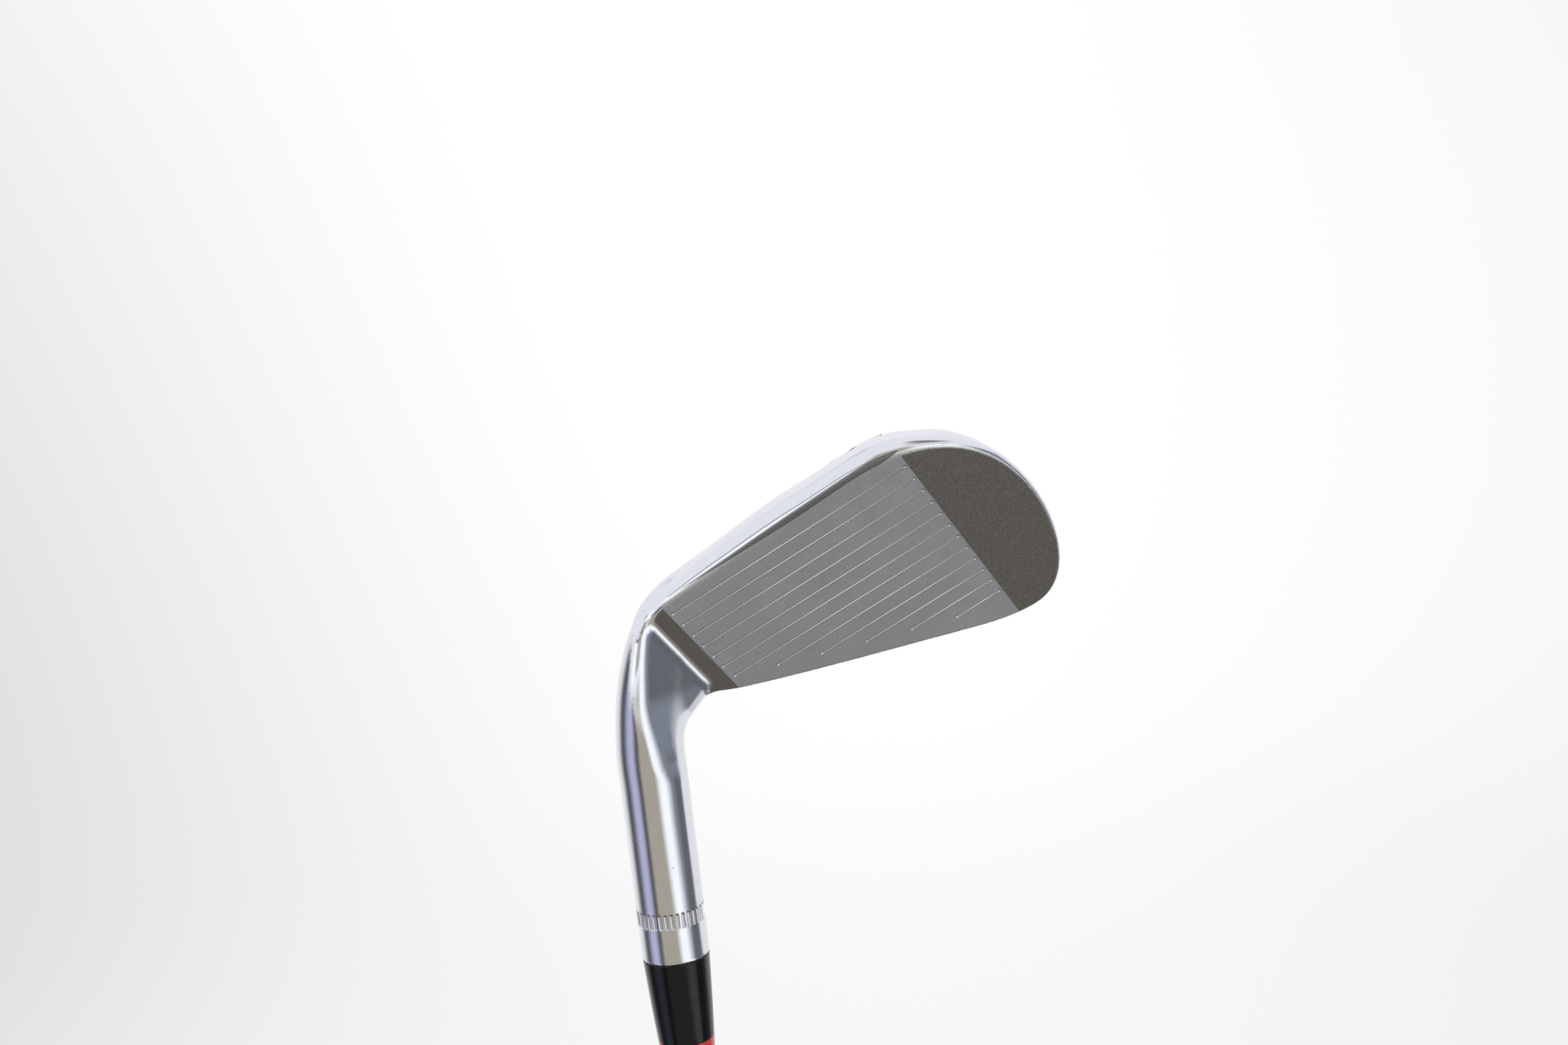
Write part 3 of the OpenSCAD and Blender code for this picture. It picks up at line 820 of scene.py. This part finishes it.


# ---------------------------------------------------------------- surroundings
# A made-up room of plain panels for the chrome to reflect, each in one plain colour. Their places and
# colours follow, simplified, the bands that the hosel shows in the photo.
PALE = (0.72, 0.72, 0.75, 1)
CEILING = (0.75, 0.75, 0.80, 1)
GLARE = (0.92, 0.95, 1.00, 1)
WARM = (0.37, 0.34, 0.29, 1)
OLIVE = (0.25, 0.23, 0.16, 1)
VIOLET = (0.42, 0.42, 0.60, 1)
SHADE = (0.19, 0.21, 0.25, 1)
UMBER = (0.095, 0.085, 0.075, 1)
DARK = (0.10, 0.10, 0.11, 1)
# panel: azimuth where its full colour starts and ends (0 in front of the face, 90 past the toe), colour
PANELS = (
    (-180, -120, PALE),
    (-95, -85, DARK),
    (-65, -52, VIOLET),
    (-38, -34, DARK),
    (-24, 16, WARM),
    (32, 48, GLARE),
    (72, 102, SHADE),
    (116, 180, PALE),
)
# overhead: elevation where a full colour starts and ends, colour; the thin one is a rail
OVERHEAD = (
    (-90, 26, GLARE),
    (28.5, 30.5, SHADE),
    (32, 90, CEILING),
)
# dim patches: azimuth in and out, elevation in and out, share, colour. The first is in front, where
# the heel and the toe's edge pick it up, the next high on the toe side, the last behind the head.
PATCHES = (
    ((-24, -14), (12, 26), (6, 10), (40, 52), 0.75, OLIVE),
    ((5, 48), (60, 88), (40, 60), (76, 90), 0.85, UMBER),
    ((-156, -142), (-136, -122), (36, 44), (52, 60), 0.25, SHADE),
)


def panel_ramp(t, angle, full_turn, panels):
    """Colour by angle in degrees, from -full_turn/2 to full_turn/2, soft between the panels."""
    share = calc(t, "ADD", calc(t, "DIVIDE", angle, full_turn), 0.5)
    stops = [(edge / full_turn + 0.5, tint) for first, last, tint in panels for edge in (first, last)]
    return ramp(t, share, stops)


def make_world():
    """The room round the club, as a function of the direction a ray leaves in."""
    world = bpy.data.worlds.new("studio")
    bpy.context.scene.world = world
    world.use_nodes = True
    t = world.node_tree
    background = t.nodes["Background"]
    direction = add(t, "ShaderNodeTexCoord").outputs["Generated"]
    xyz = add(t, "ShaderNodeSeparateXYZ", {0: direction})
    forward = calc(t, "MULTIPLY", xyz.outputs[1], -1.0)
    az = calc(t, "MULTIPLY", calc(t, "ARCTAN2", xyz.outputs[0], forward), 180 / math.pi)
    el = calc(t, "MULTIPLY", calc(t, "ARCSINE", xyz.outputs[2]), 180 / math.pi)
    # the window leans: lower down it stands further to the toe side, and more so near the floor
    skew = calc(t, "MULTIPLY", calc(t, "MINIMUM", calc(t, "ADD", el, 17.0), 0.0), 2.0)
    steep = calc(t, "MULTIPLY", calc(t, "MINIMUM", calc(t, "ADD", el, 32.0), 0.0), 1.5)
    skew = calc(t, "MULTIPLY", calc(t, "ADD", skew, steep), step_up(t, az, -30.0, 30.0))
    side = panel_ramp(t, calc(t, "ADD", az, skew), 360, PANELS)
    # the rail overhead is only in front
    over = panel_ramp(t, el, 180, OVERHEAD)
    over = blend(t, step_up(t, calc(t, "ABSOLUTE", az), 46.0, 60.0), over, CEILING)
    # height at which the panels give way to what is overhead
    reach = blend1(t, step_up(t, az, -60.0, -95.0), 1.0, 11.0)
    reach = blend1(t, step_up(t, az, 42.0, 60.0), reach, 22.0)
    high = step_up(t, calc(t, "SUBTRACT", el, reach), -3.0, 8.0)
    low = step_up(t, el, -34.0, -52.0)
    # the wall of the crotch looks into a darker corner on the toe side
    corner = calc(t, "MULTIPLY", step_up(t, az, 76.0, 88.0), step_down(t, az, 106.0, 116.0))
    corner = calc(t, "MULTIPLY", calc(t, "MULTIPLY", corner, 0.8), step_down(t, el, -11.0, 1.0))
    side = blend(t, corner, side, DARK)
    room = blend(t, low, side, UMBER)
    room = blend(t, high, room, over)
    for az_in, az_out, el_in, el_out, share, tint in PATCHES:
        across = calc(t, "MULTIPLY", step_up(t, az, *az_in), step_down(t, az, *az_out))
        rise = calc(t, "MULTIPLY", step_up(t, el, *el_in), step_down(t, el, *el_out))
        patch = calc(t, "MULTIPLY", calc(t, "MULTIPLY", across, rise), share)
        room = blend(t, patch, room, tint)
    t.links.new(room, background.inputs["Color"])
    background.inputs["Strength"].default_value = 1.25


FLOOR_R, COVE_R, WALL_TOP = 3.0, 1.4, 4.2
# Two soft spots of painted shade on the paper's glow: centre and reach in metres, and how bright the middle
# stays. They follow how the photo's background dims, in round numbers after a fit to it.
PAINTED_SHADE_SPOTS = (
    ((-4.0, 1.5, 0.5), 4.5, (0.4, 0.4, 0.4, 1)),
    ((2.0, 1.5, 2.0), 4.0, (0.6, 0.6, 0.6, 1)),
)


def make_stage():
    """A round pale floor that turns up into a wall. It shows only to the camera."""
    rows = [(0.001, 0.0)] + [(r, 0.0) for r in np.linspace(0.2, FLOOR_R, 15)]
    for i in range(1, 13):
        a = math.pi / 2 * i / 12
        rows.append((FLOOR_R + COVE_R * math.sin(a), COVE_R - COVE_R * math.cos(a)))
    rows += [(FLOOR_R + COVE_R, 2.6), (FLOOR_R + COVE_R, WALL_TOP)]
    base = CAD_BOX[0][2] - 0.0003
    n = 96
    turns = [2 * math.pi * j / n for j in range(n)]
    v = [(r * math.cos(a), r * math.sin(a), base + z) for r, z in rows for a in turns]
    f = [(i * n + j, i * n + (j + 1) % n, (i + 1) * n + (j + 1) % n, (i + 1) * n + j)
         for i in range(len(rows) - 1) for j in range(n)]
    mesh = bpy.data.meshes.new("floor")
    mesh.from_pydata(v, [], f)
    mesh.shade_smooth()
    floor = bpy.data.objects.new("floor", mesh)
    bpy.context.scene.collection.objects.link(floor)
    mat, t, bsdf = material("floor_paper")
    where = place(t)
    glow = (1.0, 1.0, 1.0, 1)
    # each spot paints shade into the glow, darkest at its centre
    for centre, reach, tint in PAINTED_SHADE_SPOTS:
        far = add(t, "ShaderNodeVectorMath", {0: where, 1: centre}, operation="DISTANCE")
        glow = blend(t, step_up(t, far.outputs["Value"], 0.1, reach), tint, glow)
    bsdf.inputs["Base Color"].default_value = (0.01, 0.01, 0.01, 1)
    bsdf.inputs["Roughness"].default_value = 1.0
    bsdf.inputs["Specular IOR Level"].default_value = 0.0
    t.links.new(glow, bsdf.inputs["Emission Color"])
    bsdf.inputs["Emission Strength"].default_value = 1.02
    mesh.materials.append(mat)
    floor.visible_glossy = False
    floor.visible_shadow = False
    floor.visible_diffuse = False


def area(name, place_at, target, size, power):
    """A round soft light, which gloss does not show."""
    data = bpy.data.lights.new(name, "AREA")
    data.shape, data.size, data.energy = "DISK", size, power
    obj = bpy.data.objects.new(name, data)
    bpy.context.scene.collection.objects.link(obj)
    obj.location = place_at
    obj.rotation_mode = "QUATERNION"
    obj.rotation_quaternion = (Vector(target) - Vector(place_at)).to_track_quat("-Z", "Y")
    obj.visible_glossy = False
    return obj


# The photo's viewpoint, solved from it: where the camera stands (mm), its turn about each axis
# (degrees) and its focal length in pixels of the 2353 wide photo.
CAMERA_AT = on_axis(77.931, -327.037, 60.095)
CAMERA_TURN = (8.103, 7.651, -6.430)
FOCAL_PX, PHOTO_W, SENSOR_W = 2621.0, 2353, 36


def make_camera():
    """The camera at the photo's viewpoint."""
    az, el, roll = (math.radians(a) for a in CAMERA_TURN)
    back = np.array([math.sin(az) * math.cos(el), -math.cos(az) * math.cos(el), math.sin(el)])
    right = np.array([math.cos(az), math.sin(az), 0])
    up = np.cross(back, right)
    x = math.cos(roll) * right + math.sin(roll) * up
    y = -math.sin(roll) * right + math.cos(roll) * up
    data = bpy.data.cameras.new("camera")
    cam = bpy.data.objects.new("camera", data)
    bpy.context.scene.collection.objects.link(cam)
    data.sensor_fit, data.sensor_width = "HORIZONTAL", SENSOR_W
    data.lens = FOCAL_PX / PHOTO_W * SENSOR_W
    data.clip_start, data.clip_end = 0.01, 50
    at = CAMERA_AT * MM
    m = Matrix([[x[i], y[i], back[i], at[i]] for i in range(3)] + [[0, 0, 0, 1]])
    cam.matrix_world = m
    bpy.context.scene.camera = cam


make_world()
make_stage()
area("key", (-0.9, -1.2, 2.4), (0, 0, 0.7), 1.2, 22)
area("fill", (1.6, -0.9, 1.6), (0, 0, 0.6), 1.4, 10)
area("low", (0.9, -1.5, 0.35), (0.03, 0, 0.94), 1.0, 10)
make_camera()
view = bpy.context.scene.view_settings
view.view_transform, view.look, view.exposure, view.gamma = "Standard", "None", 0.0, 1.0
